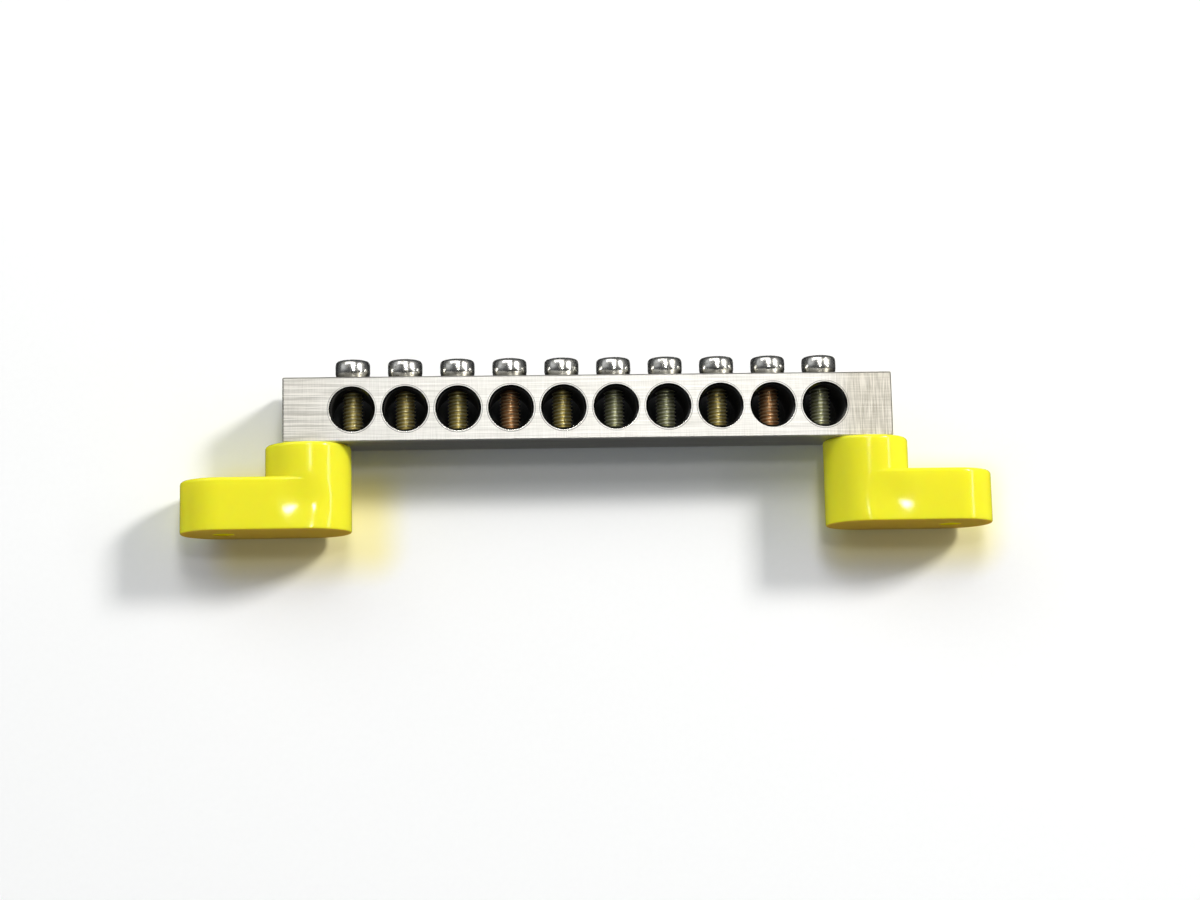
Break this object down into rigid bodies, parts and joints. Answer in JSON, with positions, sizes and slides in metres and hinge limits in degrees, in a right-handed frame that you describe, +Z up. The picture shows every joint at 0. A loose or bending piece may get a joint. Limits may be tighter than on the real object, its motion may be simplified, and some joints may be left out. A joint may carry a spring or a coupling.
{
  "type": "earth terminal bar",
  "caption": "Metal earth bar with a row of round wire holes and clamp screws, carried at both ends on yellow moulded stand-off feet.",
  "frame": {"origin": "on the panel that the feet are screwed to, midway between the two mounting holes", "axes": "+X along the bar, +Y into the panel, +Z up the panel, along the wire holes; the clamp screws are turned from the -Y side"},
  "size_m": [0.1552, 0.033, 0.0164],
  "materials": {
    "plated_bar": "nickel plate over brass, brushed along its length",
    "plated_screw": "bright nickel-plated steel, brassy in the thread",
    "yellow_plastic": "glossy yellow moulded plastic"
  },
  "bodies": {
    "bar_and_feet": {"bar": "plated_bar", "foot_left": "yellow_plastic", "foot_right": "yellow_plastic", "stud_left": "plated_screw", "stud_right": "plated_screw"},
    "screw_1": {"clamp_screw_1": "plated_screw"},
    "screw_2": {"clamp_screw_2": "plated_screw"},
    "screw_3": {"clamp_screw_3": "plated_screw"},
    "screw_4": {"clamp_screw_4": "plated_screw"},
    "screw_5": {"clamp_screw_5": "plated_screw"},
    "screw_6": {"clamp_screw_6": "plated_screw"},
    "screw_7": {"clamp_screw_7": "plated_screw"},
    "screw_8": {"clamp_screw_8": "plated_screw"},
    "screw_9": {"clamp_screw_9": "plated_screw"},
    "screw_10": {"clamp_screw_10": "plated_screw"}
  },
  "joints": [
    {"name": "screw_1_travel", "type": "slide", "parent": "bar_and_feet", "child": "screw_1", "axis": [0, -1, 0], "range_m": [0, 0.0078]},
    {"name": "screw_2_travel", "type": "slide", "parent": "bar_and_feet", "child": "screw_2", "axis": [0, -1, 0], "range_m": [0, 0.0078]},
    {"name": "screw_3_travel", "type": "slide", "parent": "bar_and_feet", "child": "screw_3", "axis": [0, -1, 0], "range_m": [0, 0.0078]},
    {"name": "screw_4_travel", "type": "slide", "parent": "bar_and_feet", "child": "screw_4", "axis": [0, -1, 0], "range_m": [0, 0.0078]},
    {"name": "screw_5_travel", "type": "slide", "parent": "bar_and_feet", "child": "screw_5", "axis": [0, -1, 0], "range_m": [0, 0.0078]},
    {"name": "screw_6_travel", "type": "slide", "parent": "bar_and_feet", "child": "screw_6", "axis": [0, -1, 0], "range_m": [0, 0.0078]},
    {"name": "screw_7_travel", "type": "slide", "parent": "bar_and_feet", "child": "screw_7", "axis": [0, -1, 0], "range_m": [0, 0.0078]},
    {"name": "screw_8_travel", "type": "slide", "parent": "bar_and_feet", "child": "screw_8", "axis": [0, -1, 0], "range_m": [0, 0.0078]},
    {"name": "screw_9_travel", "type": "slide", "parent": "bar_and_feet", "child": "screw_9", "axis": [0, -1, 0], "range_m": [0, 0.0078]},
    {"name": "screw_10_travel", "type": "slide", "parent": "bar_and_feet", "child": "screw_10", "axis": [0, -1, 0], "range_m": [0, 0.0078]}
  ]
}
